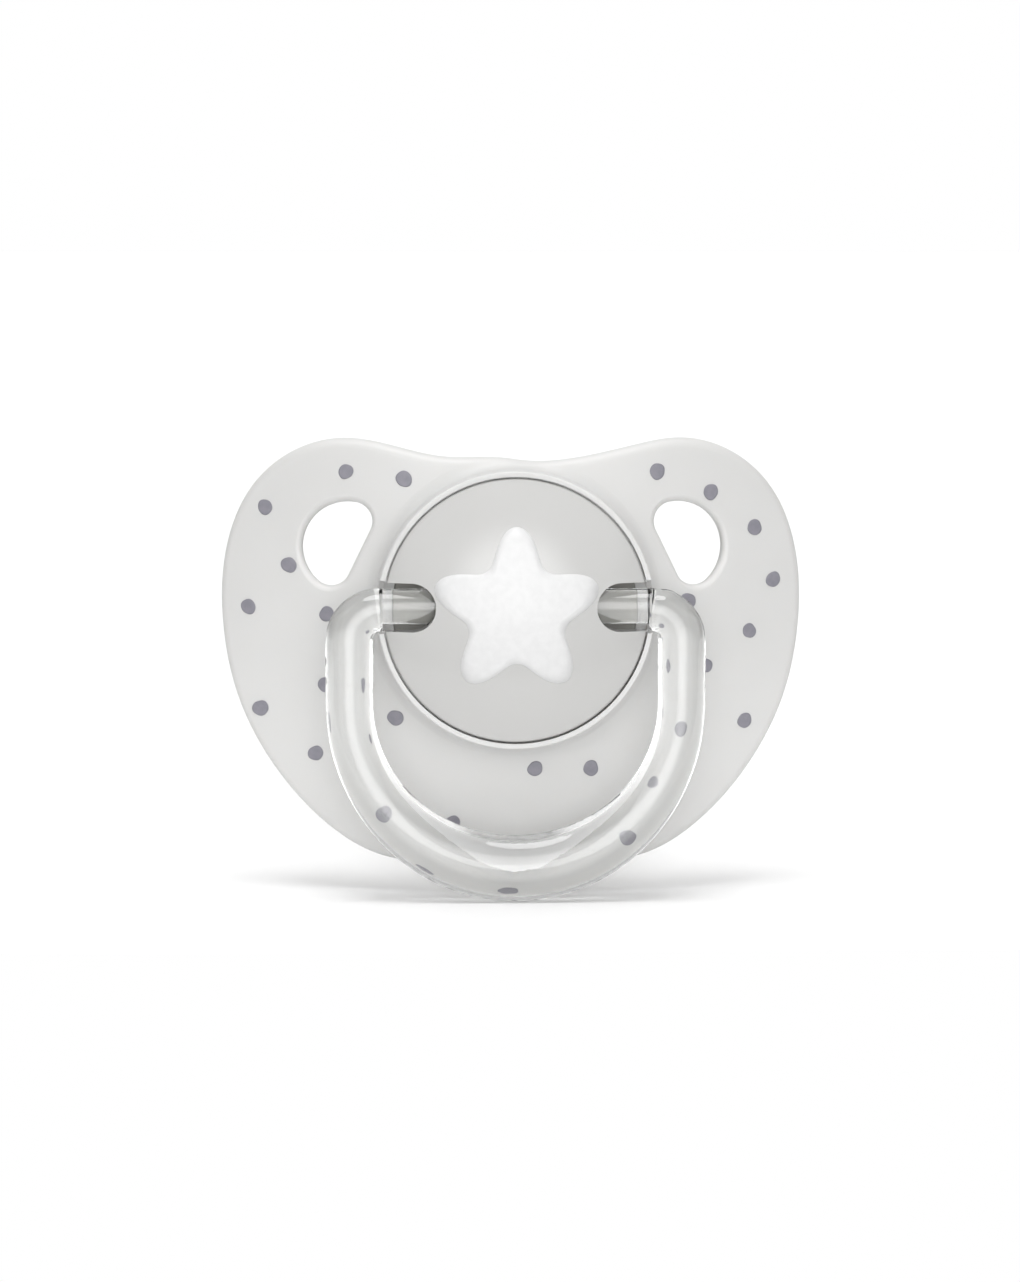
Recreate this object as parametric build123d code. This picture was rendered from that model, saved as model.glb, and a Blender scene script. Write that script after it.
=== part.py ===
from build123d import *
from math import cos, pi, sin, sqrt
import os

# A baby's pacifier: a butterfly mouth shield with two air vents, an anatomical silicone teat held
# in the shield by a plug, a clear ring handle whose two pins turn in the hub, and a domed front
# cover that snaps into the hub's collar and keeps the pins in.
#
# Frame, in millimetres: +Z up, +Y from the shield towards the mouth, along the teat's axis, and X
# across the face. The origin is on the teat's axis, where it leaves the shield's mouth side.

# Shield plate
SHIELD_THICKNESS = 2.0
BEND_ACROSS = 46.0        # front radius that wraps the plate round the face, about a vertical axis
BEND_UPRIGHT = 90.0       # front radius from the nose to the chin
SHIELD_EDGE_ROUND = 0.9
# Half of the outline in front view, from the nose dip over the wing to the chin, as (x, z)
NOSE_DIP = (0, 12.05)
WING_SIDE = [(5.8, 12.25), (9.8, 13.1), (13.9, 13.7), (17.2, 13.0), (21.25, 9.95), (23.75, 3.9),
             (23.9, -2.1), (22.6, -8.1), (19.4, -14.0), (15.25, -18.4), (11.5, -20.65), (7.0, -21.5)]
CHIN = (0, -21.75)

# Air vents: a round hole with one side cut straight, facing the hub
VENT_RADIUS = 3.77
VENT_CENTRE = (13.5, 4.75)
VENT_FLAT_ANGLE = 26.0    # degrees above the horizontal of the line from the hub to the flat
VENT_FLAT_FROM_HUB = 13.25
VENT_CORNER = 1.6
VENT_EDGE_ROUND = 0.45

# Hub of the shield: a collar in front, stepped bores inside
COLLAR_RADIUS = 11.3
COLLAR_FRONT = -6.2
COLLAR_ROOT = 0.3         # the collar starts inside the plate, here
COLLAR_BORE = 10.85
COLLAR_FOOT_ROUND = 1.2
COLLAR_RIM_ROUND = 0.15
COLLAR_NOTCH_HALF = 2.15  # half height of the notch for the end of the ring's arm
COVER_GROOVE = (11.0, -5.0, -4.4)       # radius, from y, to y
PLUG_BORE = 10.0
PLUG_GROOVE = (10.3, -3.25, -2.75)
FLANGE_SEAT_RADIUS = 8.4
NECK_HOLE_RADIUS = 5.0
WEB_FRONT = -1.2          # the web that the teat's flange is clamped to
BOSS_RADIUS = 7.6         # raised pad round the teat, on the mouth side
BOSS_HEIGHT = 0.5
BOSS_CHAMFER = 0.2

# Teat: moulded silicone, flange in the hub, neck through the web, flattened bulb behind
TEAT_WALL = 1.3
FLANGE_RADIUS = 8.3
FLANGE_FRONT = -2.4
NECK_RADIUS = 4.9
NECK_END = 0.6
WAIST = (5.5, 4.7, 4.5, 0.0)            # y, half width, half height, height of the centre
BULB = (18.5, 7.7, 5.7, 1.3)            # the same where the bulb is widest
TEAT_TIP = (27.4, 2.0)                  # y, height

# Plug: a disc that clamps the flange, with a hollow stem that fills the neck
PLUG_FRONT = -3.6
PLUG_RADIUS = 9.9
PLUG_BEAD = (10.2, -3.2, -2.8)          # radius, from y, to y
STEM_RADIUS = 3.4
STEM_END = 2.2
STEM_HOLLOW = 2.3
STEM_FLOOR = 1.2
AIR_HOLE_RADIUS = 0.5
CRADLE = (4.7, 5.7)       # the posts under the ring's journals, from x, to x
CRADLE_HALF_HEIGHT = 1.0

# Ring handle and its pins, which lie along X
PIVOT_Y = -5.4
PIVOT_Z = 0.3             # the pins are a little above the hub's middle
PIN_RADIUS = 1.45
PIN_END = 3.7             # x of the pin's end
PIN_END_CHAMFER = 0.3
JOURNAL_RADIUS = 1.05     # groove in the pin that the cover's rib and the plug's post run in
JOURNAL = (4.6, 5.8)      # from x, to x
ARM_START = 10.8          # the arm is thicker than its pin, and starts just outside the cover
ARM_START_RADIUS = 1.75
ARM_START_TOP = 1.82      # z of its top, nearly level with the pin's
STUB_END = 11.15          # the pin reaches into the arm, to this x
BEND_START = 11.0
BEND_RADIUS = 2.5
ARM_RADIUS = 1.93
ARC_RADIUS = BEND_START + BEND_RADIUS   # centreline of the ring's round lower half
ARC_CENTRE_Z = -7.57
GRIP_EXTRA_WIDTH = 0.76   # the bar widens towards the bottom by this, in the ring's plane
GRIP_EXTRA_DEPTH = 0.1

# Front cover: a dome with a skirt, and a U-shaped slot over each pin
COVER_RADIUS = 10.7
COVER_EDGE = -6.1
COVER_APEX = -9.0
COVER_WALL = 1.0
SKIRT_WALL = 0.9
SKIRT_END = -3.9
COVER_BEAD = (10.95, -4.95, -4.45)      # radius, from y, to y
SLOT_HALF_WIDTH = 1.98
SLOT_END_X = 6.5
SLOT_WALL = 1.0
SLOT_WALL_END = -4.2      # the walls round the slots and the ribs beside them reach back to here
RIB_HALF_HEIGHT = 2.6
BEARING_CLEARANCE = 0.05
COVER_EDGE_ROUND = 0.25

FAR = 25.0                # far enough to cut right through the shield or the cover


def turned(points):
    """The solid that a closed outline of (radius, y) points makes about the teat's axis."""
    return revolve(make_face(Polyline(*points, close=True)), Axis.Y)


def disc(radius, y_from, y_to):
    """A cylinder along the teat's axis."""
    return turned([(0, y_from), (radius, y_from), (radius, y_to), (0, y_to)])


def on_pivot(radius, x_from, x_to):
    """A cylinder on the pivot line, from x_from to x_to."""
    start = Plane((x_from, PIVOT_Y, PIVOT_Z), x_dir=(0, 1, 0), z_dir=(1, 0, 0))
    return extrude(start * Circle(radius), amount=x_to - x_from)


def box(x, y, z):
    """A box, each of its sides given as (low, high)."""
    sides = [high - low for low, high in (x, y, z)]
    middle = [(high + low) / 2 for low, high in (x, y, z)]
    return Pos(*middle) * Box(*sides)


def pivot_box(x, y, half_height):
    """A box with sides x and y as (low, high), as high above the pivot line as below it."""
    return box(x, y, (PIVOT_Z - half_height, PIVOT_Z + half_height))


def pushed_through(sketch, y_from=-FAR, y_to=FAR):
    """A sketch drawn in front view, X to the right and Z up, as a solid from y_from to y_to."""
    back = Plane((0, y_to, 0), x_dir=(1, 0, 0), z_dir=(0, -1, 0))
    return extrude(back * sketch, amount=y_to - y_from)


def both_sides(shape):
    """The shape and its mirror image on the other side of the face."""
    return shape + mirror(shape, Plane.YZ)


# ---- shield ----

def curved_sheet():
    """The plate's two curved faces as half of a barrel, bent across the face and from nose to chin."""
    reach = 32.0

    def arc(radius, upright_radius):
        end = radius - upright_radius + sqrt(upright_radius ** 2 - reach ** 2)
        return ThreePointArc((end, -reach), (radius, 0), (end, reach))

    front = arc(BEND_ACROSS, BEND_UPRIGHT)
    back = arc(BEND_ACROSS - SHIELD_THICKNESS, BEND_UPRIGHT - SHIELD_THICKNESS)
    ends = [Line(front @ side, back @ side) for side in (0, 1)]
    half_turn = 180
    profile = Plane.XZ * make_face([front, back, *ends])
    barrel = revolve(profile, Axis((0, 0, 0), (0, 0, -1)), half_turn)
    return Pos(0, BEND_ACROSS - SHIELD_THICKNESS, 0) * barrel


def shield_outline():
    other_side = [(-x, z) for x, z in reversed(WING_SIDE)]
    return make_face(Spline(NOSE_DIP, *WING_SIDE, CHIN, *other_side, periodic=True))


def vent_outline():
    """The right vent: a circle less what lies nearer the hub than its flat, with rounded corners."""
    big = 4 * VENT_RADIUS
    outside = Rot(0, 0, VENT_FLAT_ANGLE) * Pos(VENT_FLAT_FROM_HUB + big / 2, 0) * Rectangle(big, big)
    shape = (Pos(*VENT_CENTRE) * Circle(VENT_RADIUS)) & outside
    return fillet(shape.vertices(), VENT_CORNER)


def edges_round_hub(part, radius, y_from, y_to):
    """The part's edges that run round the teat's axis at that radius, between two y."""
    found = []
    for edge in part.edges():
        points = [edge @ (step / 8) for step in range(9)]
        off = [abs(sqrt(p.X ** 2 + p.Z ** 2) - radius) for p in points]
        if max(off) < 0.02 and all(y_from < p.Y < y_to for p in points):
            found.append(edge)
    return found


def edges_round_vents(part):
    """The part's edges that run round a vent, on the front and the back."""
    found = []
    for edge in part.edges():
        points = [edge @ (step / 4) for step in range(5)]
        off = [sqrt((abs(p.X) - VENT_CENTRE[0]) ** 2 + (p.Z - VENT_CENTRE[1]) ** 2) for p in points]
        start, end = points[0], points[-1]
        goes_through = abs(start.X - end.X) + abs(start.Z - end.Z) < 0.01
        if max(off) < VENT_RADIUS + 0.05 and not goes_through:
            found.append(edge)
    return found


def hub_bores():
    """All that is hollow inside the hub, from the cover's bore to the hole for the neck."""
    bores = disc(COLLAR_BORE, -FAR, PLUG_FRONT)
    bores += disc(*COVER_GROOVE)
    bores += disc(PLUG_BORE, PLUG_FRONT, FLANGE_FRONT)
    bores += disc(*PLUG_GROOVE)
    bores += disc(FLANGE_SEAT_RADIUS, FLANGE_FRONT, WEB_FRONT)
    bores += disc(NECK_HOLE_RADIUS, WEB_FRONT, FAR)
    return bores


def pin_notch():
    """The gap in the collar's right side that the ring's pin lies in, open to the front."""
    inside, outside = PLUG_BORE - 1, COLLAR_RADIUS + 2
    trough = on_pivot(COLLAR_NOTCH_HALF, inside, outside)
    return trough + pivot_box((inside, outside), (-FAR, PIVOT_Y), COLLAR_NOTCH_HALF)


def make_shield():
    plate = curved_sheet() & pushed_through(shield_outline())
    outline_edges = [e for e in plate.edges() if e.length > 2 * SHIELD_THICKNESS]
    plate = fillet(outline_edges, SHIELD_EDGE_ROUND)
    plate += disc(COLLAR_RADIUS, COLLAR_FRONT, COLLAR_ROOT)
    plate = fillet(edges_round_hub(plate, COLLAR_RADIUS, COLLAR_FRONT + 1, FAR), COLLAR_FOOT_ROUND)
    plate = fillet(edges_round_hub(plate, COLLAR_RADIUS, -FAR, COLLAR_FRONT + 1), COLLAR_RIM_ROUND)
    plate -= both_sides(pushed_through(vent_outline()))
    plate = fillet(edges_round_vents(plate), VENT_EDGE_ROUND)
    plate += turned([(0, WEB_FRONT), (BOSS_RADIUS, WEB_FRONT), (BOSS_RADIUS, BOSS_HEIGHT - BOSS_CHAMFER),
                     (BOSS_RADIUS - BOSS_CHAMFER, BOSS_HEIGHT), (0, BOSS_HEIGHT)])
    plate -= hub_bores()
    plate -= both_sides(pin_notch())
    return plate


# ---- teat ----

def teat_bulb(inset):
    """The teat behind its neck as a solid, with its whole surface drawn in by inset."""
    def section(y, half_width, half_height, rise):
        place = Plane((0, y, rise), x_dir=(1, 0, 0), z_dir=(0, 1, 0))
        return place * Ellipse(half_width - inset, half_height - inset)

    sections = [section(NECK_END, NECK_RADIUS, NECK_RADIUS, 0)]
    steps = 4
    for step in range(steps + 1):
        share = (1 - cos(pi * step / steps)) / 2
        y = WAIST[0] + (BULB[0] - WAIST[0]) * step / steps
        shape = [thin + (wide - thin) * share for thin, wide in zip(WAIST[1:], BULB[1:])]
        sections.append(section(y, *shape))
    tip_y, tip_z = TEAT_TIP
    bulb_y, half_width, half_height, rise = BULB
    for share in (0.35, 0.6, 0.8, 0.93):
        narrow = sqrt(1 - share ** 2)
        sections.append(section(bulb_y + (tip_y - inset - bulb_y) * share,
                                inset + (half_width - inset) * narrow,
                                inset + (half_height - inset) * narrow,
                                rise + (tip_z - rise) * share ** 2))
    return loft([*sections, Vertex(0, tip_y - inset, tip_z)])


def make_teat():
    bore = NECK_RADIUS - TEAT_WALL
    teat = disc(FLANGE_RADIUS, FLANGE_FRONT, WEB_FRONT) + disc(NECK_RADIUS, WEB_FRONT, NECK_END)
    teat = teat + teat_bulb(0) - teat_bulb(TEAT_WALL)
    return teat - disc(bore, FLANGE_FRONT, NECK_END)


# ---- plug ----

def make_plug():
    plug = disc(PLUG_RADIUS, PLUG_FRONT, FLANGE_FRONT) + disc(*PLUG_BEAD)
    plug += disc(STEM_RADIUS, FLANGE_FRONT, STEM_END)
    plug -= disc(STEM_HOLLOW, PLUG_FRONT, STEM_FLOOR) + disc(AIR_HOLE_RADIUS, STEM_FLOOR, STEM_END)
    post = pivot_box(CRADLE, (PIVOT_Y, PLUG_FRONT), CRADLE_HALF_HEIGHT)
    post -= on_pivot(JOURNAL_RADIUS + BEARING_CLEARANCE, *JOURNAL)
    return plug + both_sides(post)


# ---- ring handle ----

def bar_section(x, z, heading, half_width, half_depth):
    """The bar's oval section at (x, z), square to a centreline that heads that way, in radians."""
    outward = (-sin(heading), 0, cos(heading))
    along = (cos(heading), 0, sin(heading))
    return Plane((x, PIVOT_Y, z), x_dir=outward, z_dir=along) * Ellipse(half_width, half_depth)


def half_ring():
    """The numbers of the bar's sections from the start of the right arm to just short of the bottom."""
    start_z = ARM_START_TOP - ARM_START_RADIUS
    numbers = []
    steps = 6
    for step in range(steps + 1):
        turn = pi / 2 * step / steps
        x = BEND_START + BEND_RADIUS * sin(turn)
        z = start_z + BEND_RADIUS * (cos(turn) - 1)
        radius = ARM_START_RADIUS + (ARM_RADIUS - ARM_START_RADIUS) * sin(turn) ** 2
        numbers.append((x, z, -turn, radius, radius))
    arm_middle = (ARC_CENTRE_Z + start_z - BEND_RADIUS) / 2
    numbers.append((ARC_RADIUS, arm_middle, -pi / 2, ARM_RADIUS, ARM_RADIUS))
    steps = 9
    for step in range(steps):
        turn = pi / 2 * step / steps
        x = ARC_RADIUS * cos(turn)
        z = ARC_CENTRE_Z - ARC_RADIUS * sin(turn)
        swell = sin(turn) ** 2
        numbers.append((x, z, -pi / 2 - turn, ARM_RADIUS + GRIP_EXTRA_WIDTH * swell,
                        ARM_RADIUS + GRIP_EXTRA_DEPTH * swell))
    return numbers


def make_ring():
    right = half_ring()
    grip = (ARM_RADIUS + GRIP_EXTRA_WIDTH, ARM_RADIUS + GRIP_EXTRA_DEPTH)
    bottom = (0, ARC_CENTRE_Z - ARC_RADIUS, -pi, *grip)
    left = [(-x, z, -2 * pi - heading, *sizes) for x, z, heading, *sizes in reversed(right)]
    ring = loft([bar_section(*numbers) for numbers in [*right, bottom, *left]])
    _, z, heading, radius, _ = right[0]
    narrow = radius - (BEND_START - ARM_START)      # a chamfer of 45 degrees
    cone = loft([bar_section(ARM_START, z, heading, narrow, narrow), bar_section(*right[0])], ruled=True)
    stub = on_pivot(PIN_RADIUS, JOURNAL[1], STUB_END)
    journal = on_pivot(JOURNAL_RADIUS, *JOURNAL)
    head = on_pivot(PIN_RADIUS, PIN_END, JOURNAL[0])
    head = chamfer(head.edges().group_by(Axis.X)[0], PIN_END_CHAMFER)
    return ring + both_sides(cone + stub + journal + head)


# ---- front cover ----

def dome(inset):
    """The ball that the cover's front is a cap of, its radius less inset."""
    rise = COVER_EDGE - COVER_APEX
    radius = (COVER_RADIUS ** 2 + rise ** 2) / (2 * rise)
    return Pos(0, COVER_APEX + radius, 0) * Sphere(radius - inset)


def slot_outline(grow):
    """The right slot in front view: round at its inner end and open outwards, widened by grow."""
    middle = SLOT_END_X + SLOT_HALF_WIDTH
    past = 2 * COVER_RADIUS
    straight = Pos((middle + past) / 2, PIVOT_Z) * Rectangle(past - middle, 2 * (SLOT_HALF_WIDTH + grow))
    return Pos(middle, PIVOT_Z) * Circle(SLOT_HALF_WIDTH + grow) + straight


def pin_arch(radius, x_from, x_to):
    """The room for a pin of that radius, open towards the plug."""
    half = radius + BEARING_CLEARANCE
    return on_pivot(half, x_from, x_to) + pivot_box((x_from, x_to), (PIVOT_Y, 0), half)


def make_cover():
    inside = COVER_RADIUS - SKIRT_WALL
    blank = dome(0) & disc(COVER_RADIUS, -FAR, SKIRT_END)
    blank = fillet(edges_round_hub(blank, COVER_RADIUS, -FAR, SKIRT_END - 1), COVER_EDGE_ROUND)
    hollow = dome(COVER_WALL) & disc(inside, -FAR, SKIRT_END)
    slot_wall = pushed_through(slot_outline(SLOT_WALL), -FAR, SLOT_WALL_END)
    rib = pivot_box(CRADLE, (-FAR, SLOT_WALL_END), RIB_HALF_HEIGHT)
    cover = blank - hollow + (both_sides(slot_wall + rib) & blank)
    cover += disc(*COVER_BEAD) - disc(inside, -FAR, FAR)
    cover -= both_sides(pushed_through(slot_outline(0)))
    cover -= both_sides(pin_arch(JOURNAL_RADIUS, *JOURNAL))
    return cover - both_sides(pin_arch(PIN_RADIUS, JOURNAL[1], COVER_RADIUS))


def save(name, shape):
    solids = shape.solids()
    assert len(solids) == 1, (name, len(solids))
    export_step(solids[0], f"parts/{name}.step")


os.makedirs("parts", exist_ok=True)
save("shield", make_shield())
save("teat", make_teat())
save("teat_plug", make_plug())
save("ring_handle", make_ring())
save("front_cover", make_cover())
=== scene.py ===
import math
import random

import bmesh
import bpy
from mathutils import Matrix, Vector
from mathutils.bvhtree import BVHTree


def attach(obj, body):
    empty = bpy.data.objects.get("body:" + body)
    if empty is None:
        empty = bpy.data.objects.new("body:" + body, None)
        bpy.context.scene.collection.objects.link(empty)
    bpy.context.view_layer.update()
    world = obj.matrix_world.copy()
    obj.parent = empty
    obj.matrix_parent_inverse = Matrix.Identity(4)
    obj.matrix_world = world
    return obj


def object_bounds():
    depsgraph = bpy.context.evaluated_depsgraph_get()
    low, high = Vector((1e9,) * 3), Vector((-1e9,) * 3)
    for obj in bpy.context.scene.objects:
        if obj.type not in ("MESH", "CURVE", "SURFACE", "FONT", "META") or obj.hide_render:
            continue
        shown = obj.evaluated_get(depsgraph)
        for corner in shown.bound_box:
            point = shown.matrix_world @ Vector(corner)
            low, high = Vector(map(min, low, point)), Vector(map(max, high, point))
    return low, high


# The looks of a baby's pacifier round its CAD frame. Everything is in metres, in the frame's axes: +Z is up,
# +Y points from the shield to the mouth, and the front of the shield looks along -Y.

MM = 0.001
HULL = "shield_assembly"

# The front faces of the shield and the cover, as the CAD model makes them
SHIELD_THICKNESS = 2.0 * MM
BEND_ACROSS = 46 * MM
BEND_UPRIGHT = 90 * MM
COVER_RADIUS = 10.7 * MM
COVER_EDGE_Y = -6.1 * MM
COVER_APEX_Y = -9.0 * MM

INK_HEIGHT = 0.02 * MM     # how far a print stands proud of the plastic


# ---- the front faces that carry the prints ----

def shield_front(x, z):
    """y of the shield's front face at (x, z)."""
    radius = BEND_ACROSS - BEND_UPRIGHT + math.sqrt(BEND_UPRIGHT ** 2 - z ** 2)
    return BEND_ACROSS - SHIELD_THICKNESS - math.sqrt(radius ** 2 - x ** 2)


def cover_front(x, z):
    """y of the cover's domed front face at (x, z)."""
    rise = COVER_EDGE_Y - COVER_APEX_Y
    ball = (COVER_RADIUS ** 2 + rise ** 2) / (2 * rise)
    return COVER_APEX_Y + ball - math.sqrt(ball ** 2 - x ** 2 - z ** 2)


# ---- materials ----

def set_inputs(node, settings):
    """Sets the node's sockets, given by name."""
    for socket, value in settings.items():
        node.inputs[socket].default_value = value


def new_material(name):
    """A material, with the functions that link and add nodes in it and its main shader."""
    material = bpy.data.materials.new(name)
    material.use_nodes = True
    tree = material.node_tree
    shader = tree.nodes["Principled BSDF"]

    def add(kind, **settings):
        node = tree.nodes.new(kind)
        set_inputs(node, settings)
        return node

    return material, tree.links.new, shader, add


MOTTLE_FADE = (0.35, 0.65)     # the noise values where the dark colour ends and the light one is reached


def mottled(link, add, shader, dark, light, scale):
    """A faint cloudy change of colour all over the piece, from dark to light."""
    place = add("ShaderNodeTexCoord")
    noise = add("ShaderNodeTexNoise", Scale=scale, Detail=3.0, Roughness=0.5)
    ramp = add("ShaderNodeValToRGB")
    for stop, position, colour in zip(ramp.color_ramp.elements, MOTTLE_FADE, (dark, light)):
        stop.position = position
        stop.color = (*colour, 1)
    link(place.outputs["Object"], noise.inputs["Vector"])
    link(noise.outputs["Fac"], ramp.inputs["Fac"])
    link(ramp.outputs["Color"], shader.inputs["Base Color"])
    return place


def grain(link, add, shader, place, scale, strength, distance):
    """The fine texture that a mould leaves, as a bump."""
    noise = add("ShaderNodeTexNoise", Scale=scale, Detail=4.0, Roughness=0.6)
    bump = add("ShaderNodeBump", Strength=strength, Distance=distance)
    link(place.outputs["Object"], noise.inputs["Vector"])
    link(noise.outputs["Fac"], bump.inputs["Height"])
    link(bump.outputs["Normal"], shader.inputs["Normal"])


def shield_plastic():
    material, link, shader, add = new_material("shield_plastic")
    place = mottled(link, add, shader, (0.585, 0.583, 0.575), (0.607, 0.605, 0.597), scale=60.0)
    grain(link, add, shader, place, scale=2600.0, strength=0.10, distance=0.03 * MM)
    set_inputs(shader, {"Roughness": 0.45, "Subsurface Weight": 0.25,
                        "Subsurface Radius": (0.0012, 0.0011, 0.0010), "Subsurface Scale": 1.0})
    return material


def cover_plastic():
    material, link, shader, add = new_material("cover_plastic")
    place = mottled(link, add, shader, (0.505, 0.503, 0.494), (0.525, 0.523, 0.514), scale=50.0)
    grain(link, add, shader, place, scale=900.0, strength=0.02, distance=0.02 * MM)
    set_inputs(shader, {"Roughness": 0.12, "Coat Weight": 0.1, "Coat Roughness": 0.04,
                        "Subsurface Weight": 0.15, "Subsurface Radius": (0.0010, 0.0010, 0.0009),
                        "Subsurface Scale": 1.0})
    return material


def clear_plastic():
    material, link, shader, add = new_material("clear_plastic")
    place = mottled(link, add, shader, (0.985, 0.990, 0.982), (0.998, 1.000, 0.996), scale=80.0)
    grain(link, add, shader, place, scale=350.0, strength=0.03, distance=0.02 * MM)
    set_inputs(shader, {"Roughness": 0.015, "IOR": 1.53, "Transmission Weight": 1.0})
    return material


def silicone():
    material, link, shader, add = new_material("silicone")
    place = mottled(link, add, shader, (0.955, 0.948, 0.925), (0.975, 0.970, 0.950), scale=70.0)
    grain(link, add, shader, place, scale=1800.0, strength=0.08, distance=0.03 * MM)
    set_inputs(shader, {"Roughness": 0.20, "IOR": 1.41, "Transmission Weight": 0.92})
    return material


def plug_plastic():
    material, link, shader, add = new_material("plug_plastic")
    # A dark grey: partly the plug's own colour, and partly painted shade for the deep, shaded slots of the
    # cover and the ring's pins that it is seen through.
    place = mottled(link, add, shader, (0.210, 0.206, 0.186), (0.236, 0.232, 0.210), scale=90.0)
    grain(link, add, shader, place, scale=2200.0, strength=0.12, distance=0.03 * MM)
    set_inputs(shader, {"Roughness": 0.4})
    return material


def ink(name, dark, light, roughness):
    material, link, shader, add = new_material(name)
    place = mottled(link, add, shader, dark, light, scale=1500.0)
    grain(link, add, shader, place, scale=5000.0, strength=0.15, distance=0.01 * MM)
    set_inputs(shader, {"Roughness": roughness})
    return material


def floor_paper():
    material, link, shader, add = new_material("floor_paper")
    place = mottled(link, add, shader, (0.90, 0.90, 0.90), (0.92, 0.92, 0.92), scale=12.0)
    grain(link, add, shader, place, scale=400.0, strength=0.02, distance=0.05 * MM)
    set_inputs(shader, {"Roughness": 0.75, "Specular IOR Level": 0.2})
    return material


# ---- printed dots and star ----

PRINT_RINGS = 6            # steps from a print's centre to its outline, to follow the curved face
PRINT_SEED = 4

DOT_RADIUS = 0.62 * MM
DOT_SIZES = (0.95, 1.08)   # the smallest and largest dot over that radius
DOT_WAVES = ((2, 0.05), (3, 0.03), (5, 0.015))     # waves round its edge, and their height over its radius
DOT_STEPS = 36             # points of a dot's outline
DOT_SPACING = 4.6 * MM     # the least distance between two centres
DOT_MARGIN = 0.35 * MM     # plain plastic between a dot and the next edge
DOT_TRIES = 700            # how many random places are tried

PLATE_RAYS = 12            # places round a dot where what lies under it is looked at
PLATE_TOLERANCE = 0.05 * MM    # a surface this near the plate's front face belongs to it
RAY_START = -1.0           # y that the looking starts from, far in front of the object

STAR_RADIUS = 6.9 * MM
STAR_POINTS = 5
STAR_WAIST = 0.60          # radius of the star's inner corners over that of its points
STAR_SHARPNESS = 1.25      # 1 is a plain wave, and more makes its points narrower
STAR_STEPS = 200           # points of the star's outline


def print_on(name, outlines, centres, front, material):
    """Thin prints that follow the front face, filled in rings, with their edges turned into the plastic."""
    mesh = bmesh.new()
    for outline, centre in zip(outlines, centres):
        count = len(outline)
        layers = []
        for ring in range(1, PRINT_RINGS + 1):
            share = ring / PRINT_RINGS
            points = [centre + (point - centre) * share for point in outline]
            layers.append([mesh.verts.new((p.x, front(p.x, p.y) - INK_HEIGHT, p.y)) for p in points])
        edge = [mesh.verts.new((p.x, front(p.x, p.y) + INK_HEIGHT, p.y)) for p in outline]
        layers.append(edge)
        middle = mesh.verts.new((centre.x, front(centre.x, centre.y) - INK_HEIGHT, centre.y))
        for step in range(count):
            after = (step + 1) % count
            mesh.faces.new((middle, layers[0][step], layers[0][after]))
            for inner, outer in zip(layers, layers[1:]):
                mesh.faces.new((inner[step], outer[step], outer[after], inner[after]))
    bmesh.ops.recalc_face_normals(mesh, faces=mesh.faces)
    data = bpy.data.meshes.new(name)
    mesh.to_mesh(data)
    mesh.free()
    data.materials.append(material)
    data.shade_smooth()
    piece = bpy.data.objects.new(name, data)
    bpy.context.collection.objects.link(piece)
    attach(piece, HULL)


def surface_of(node):
    """The surface of a CAD node, to find what lies behind a point of the front view."""
    mesh = bmesh.new()
    mesh.from_mesh(node.data)
    mesh.transform(node.matrix_world)
    surface = BVHTree.FromBMesh(mesh)
    mesh.free()
    return surface


def on_plate(surface, centre):
    """Whether a dot there lies whole on the plate's front, clear of the hub, the vents and the edge."""
    reach = DOT_RADIUS + DOT_MARGIN
    for step in range(PLATE_RAYS):
        angle = 2 * math.pi * step / PLATE_RAYS
        x = centre.x + reach * math.cos(angle)
        z = centre.y + reach * math.sin(angle)
        hit = surface.ray_cast(Vector((x, RAY_START, z)), Vector((0, 1, 0)))[0]
        if hit is None or abs(hit.y - shield_front(x, z)) > PLATE_TOLERANCE:
            return False
    return True


def scatter(shield, low, high, chance):
    """Centres strewn at random over the plate's front, each kept at a distance from those before it."""
    surface = surface_of(shield)
    centres = []
    for _ in range(DOT_TRIES):
        centre = Vector((chance.uniform(low.x, high.x), chance.uniform(low.z, high.z)))
        apart = all((centre - other).length > DOT_SPACING for other in centres)
        if apart and on_plate(surface, centre):
            centres.append(centre)
    return centres


def dot_outline(centre, chance):
    """A round as a hand would draw it, a little out of true."""
    phases = [chance.uniform(0, 2 * math.pi) for _ in DOT_WAVES]
    size = DOT_RADIUS * chance.uniform(*DOT_SIZES)
    outline = []
    for step in range(DOT_STEPS):
        angle = 2 * math.pi * step / DOT_STEPS
        wobble = 1
        for (waves, height), phase in zip(DOT_WAVES, phases):
            wobble += height * math.sin(waves * angle + phase)
        outline.append(centre + size * wobble * Vector((math.cos(angle), math.sin(angle))))
    return outline


def star_outline():
    """A soft star about the origin, its first point upwards."""
    outline = []
    for step in range(STAR_STEPS):
        angle = 2 * math.pi * step / STAR_STEPS
        wave = 0.5 + 0.5 * math.cos(STAR_POINTS * angle)
        reach = STAR_RADIUS * (STAR_WAIST + (1 - STAR_WAIST) * wave ** STAR_SHARPNESS)
        outline.append(Vector((reach * math.sin(angle), reach * math.cos(angle))))
    return outline


def make_prints(shield, low, high):
    """The dots on the shield, which is between low and high, and the star on the cover."""
    chance = random.Random(PRINT_SEED)
    grey = ink("grey_ink", (0.202, 0.198, 0.228), (0.232, 0.226, 0.258), 0.5)
    white = ink("white_ink", (0.66, 0.66, 0.66), (0.69, 0.69, 0.69), 0.42)
    centres = scatter(shield, low, high, chance)
    outlines = [dot_outline(centre, chance) for centre in centres]
    print_on("printed_dots", outlines, centres, shield_front, grey)
    print_on("printed_star", [star_outline()], [Vector((0, 0))], cover_front, white)


# ---- room: floor, light, camera ----

FLOOR_FRONT = 35 * MM      # how far the table's edge is in front of the frame's origin
FLOOR_REACH = 20.0         # and how far the table goes to the sides and behind


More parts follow.
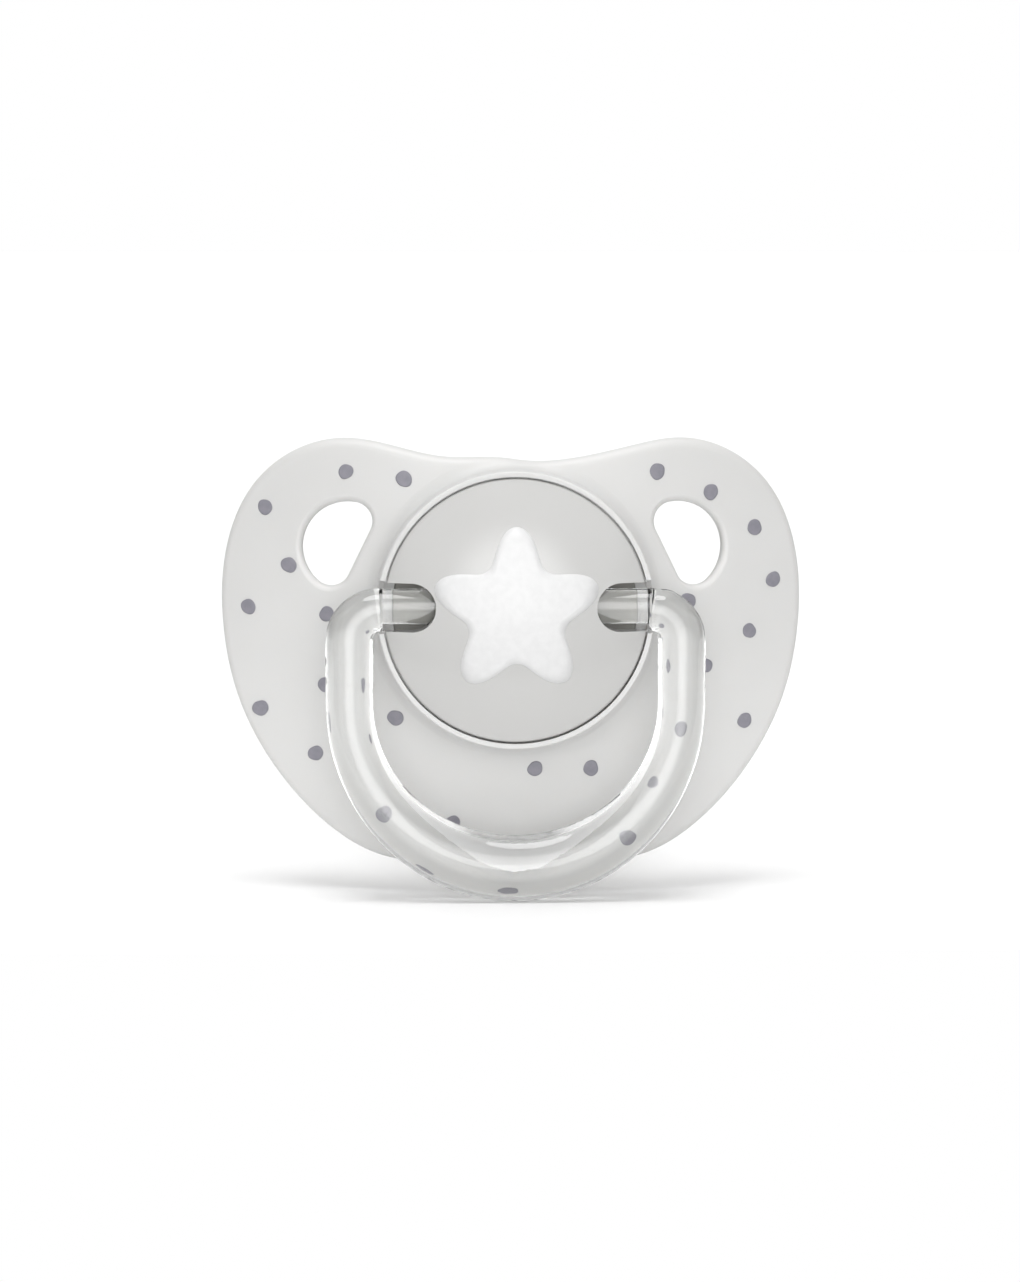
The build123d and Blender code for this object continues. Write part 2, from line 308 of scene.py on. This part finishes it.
def make_floor(height):
    """A white table top that ends a little in front of the object and reaches far behind it."""
    corners = [(-FLOOR_REACH, -FLOOR_FRONT, height), (FLOOR_REACH, -FLOOR_FRONT, height),
               (FLOOR_REACH, FLOOR_REACH, height), (-FLOOR_REACH, FLOOR_REACH, height)]
    data = bpy.data.meshes.new("floor")
    data.from_pydata(corners, [], [(0, 1, 2, 3)])
    data.materials.append(floor_paper())
    floor = bpy.data.objects.new("floor", data)
    bpy.context.collection.objects.link(floor)


ROOM_BACK = 0.85           # brightness of the studio behind the object
ROOM_FRONT = 0.50          # and of the room behind the camera
ROOM_TURNS = (-0.6, 0.3)   # y of the directions between which the one changes into the other
SIDE_FLAGS = 0.06          # what the black flags at the left and right let through
FLAGS_FROM = (0.72, 0.80)  # x of the directions, left or right, between which they come in
FRONT_GLOW = 4.1           # what the middle of the soft light in front adds to the room's brightness
GLOW_TOWARDS = Vector((0.0, -1.0, 0.13)).normalized()
GLOW_CORE = 6.0            # degrees from its middle where it starts to fade, and where it ends
GLOW_END = 32.0


def make_studio():
    """A studio far round the object: a white tent, a soft light in front, black flags left and right."""
    world = bpy.data.worlds.new("studio")
    world.use_nodes = True
    bpy.context.scene.world = world
    tree = world.node_tree
    link = tree.links.new
    direction = tree.nodes.new("ShaderNodeTexCoord").outputs["Generated"]
    parts = tree.nodes.new("ShaderNodeSeparateXYZ")
    link(direction, parts.inputs["Vector"])

    def math_node(operation, *values):
        node = tree.nodes.new("ShaderNodeMath")
        node.operation = operation
        for socket, value in zip(node.inputs, values):
            link(value, socket)
        return node.outputs["Value"]

    def between(value, low, high, start, end):
        """start up to low, end from high on, and a smooth change between them."""
        node = tree.nodes.new("ShaderNodeMapRange")
        node.interpolation_type = "SMOOTHSTEP"
        link(value, node.inputs["Value"])
        set_inputs(node, {"From Min": low, "From Max": high, "To Min": start, "To Max": end})
        return node.outputs["Result"]

    sideways = math_node("ABSOLUTE", parts.outputs["X"])
    room = between(parts.outputs["Y"], *ROOM_TURNS, ROOM_FRONT, ROOM_BACK)
    flags = between(sideways, *FLAGS_FROM, 1.0, SIDE_FLAGS)
    towards = tree.nodes.new("ShaderNodeVectorMath")
    towards.operation = "DOT_PRODUCT"
    link(direction, towards.inputs[0])
    towards.inputs[1].default_value = GLOW_TOWARDS
    ends = [math.cos(math.radians(angle)) for angle in (GLOW_END, GLOW_CORE)]
    glow = between(towards.outputs["Value"], *ends, 0.0, FRONT_GLOW)
    light = math_node("ADD", math_node("MULTIPLY", room, flags), glow)
    # The tent lights the object as above, and is plain white where the picture shows it.
    path = tree.nodes.new("ShaderNodeLightPath")
    shown = tree.nodes.new("ShaderNodeMix")
    shown.data_type = "FLOAT"
    link(path.outputs["Is Camera Ray"], shown.inputs["Factor"])
    link(light, shown.inputs["A"])
    shown.inputs["B"].default_value = 1.0
    link(shown.outputs["Result"], tree.nodes["Background"].inputs["Strength"])
    tree.nodes["Background"].inputs["Color"].default_value = (1, 1, 1, 1)


KEY_FROM = Vector((-0.05, -0.25, 1.0))      # towards the ceiling light, which is a little in front
KEY_STRENGTH = 1.6
KEY_ANGLE = 34.0           # how wide it looks from the object, in degrees


def make_key():
    """The wide soft light of the ceiling, as one distant lamp."""
    lamp = bpy.data.lights.new("ceiling", "SUN")
    lamp.energy = KEY_STRENGTH
    lamp.angle = math.radians(KEY_ANGLE)
    holder = bpy.data.objects.new("ceiling", lamp)
    holder.rotation_euler = KEY_FROM.to_track_quat("Z", "Y").to_euler()
    bpy.context.collection.objects.link(holder)


CAMERA_AZIMUTH = -2.0      # degrees
CAMERA_ELEVATION = 4.5     # degrees
CAMERA_DISTANCE = 0.42
CAMERA_CLIP = (0.01, 50.0)     # the nearest and the furthest that it sees
SENSOR = 36.0              # the film's longer side, its height here, in millimetres as Blender takes it
VIEW_HEIGHT = 105.4 * MM   # what the picture's height covers at the object
AIM = Vector((-0.27 * MM, 0.0, -2.94 * MM))


def make_camera():
    """The camera in front of the object, a little above it, looking at AIM."""
    data = bpy.data.cameras.new("camera")
    camera = bpy.data.objects.new("camera", data)
    bpy.context.collection.objects.link(camera)
    azimuth = math.radians(CAMERA_AZIMUTH)
    elevation = math.radians(CAMERA_ELEVATION)
    back = Vector((math.sin(azimuth) * math.cos(elevation), -math.cos(azimuth) * math.cos(elevation),
                   math.sin(elevation)))
    camera.location = AIM + back * CAMERA_DISTANCE
    camera.rotation_euler = (-back).to_track_quat("-Z", "Y").to_euler()
    data.sensor_width = SENSOR
    data.lens = SENSOR * CAMERA_DISTANCE / VIEW_HEIGHT
    data.clip_start, data.clip_end = CAMERA_CLIP
    bpy.context.scene.camera = camera


# ---- the scene ----

def dress(nodes, name, material):
    """Gives a CAD node its material."""
    node = nodes[name]
    node.data.materials.clear()
    node.data.materials.append(material)


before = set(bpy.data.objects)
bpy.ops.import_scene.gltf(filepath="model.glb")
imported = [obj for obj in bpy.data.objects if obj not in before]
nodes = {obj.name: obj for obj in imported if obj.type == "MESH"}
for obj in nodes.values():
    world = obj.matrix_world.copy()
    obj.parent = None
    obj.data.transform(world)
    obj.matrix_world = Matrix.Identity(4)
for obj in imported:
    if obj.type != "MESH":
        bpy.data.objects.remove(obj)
cad_low, cad_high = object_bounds()
dress(nodes, "shield", shield_plastic())
dress(nodes, "front_cover", cover_plastic())
dress(nodes, "ring_handle", clear_plastic())
dress(nodes, "teat", silicone())
dress(nodes, "teat_plug", plug_plastic())
make_prints(nodes["shield"], cad_low, cad_high)
make_floor(cad_low.z)
make_studio()
make_key()
make_camera()
bpy.context.scene.view_settings.view_transform = "Standard"
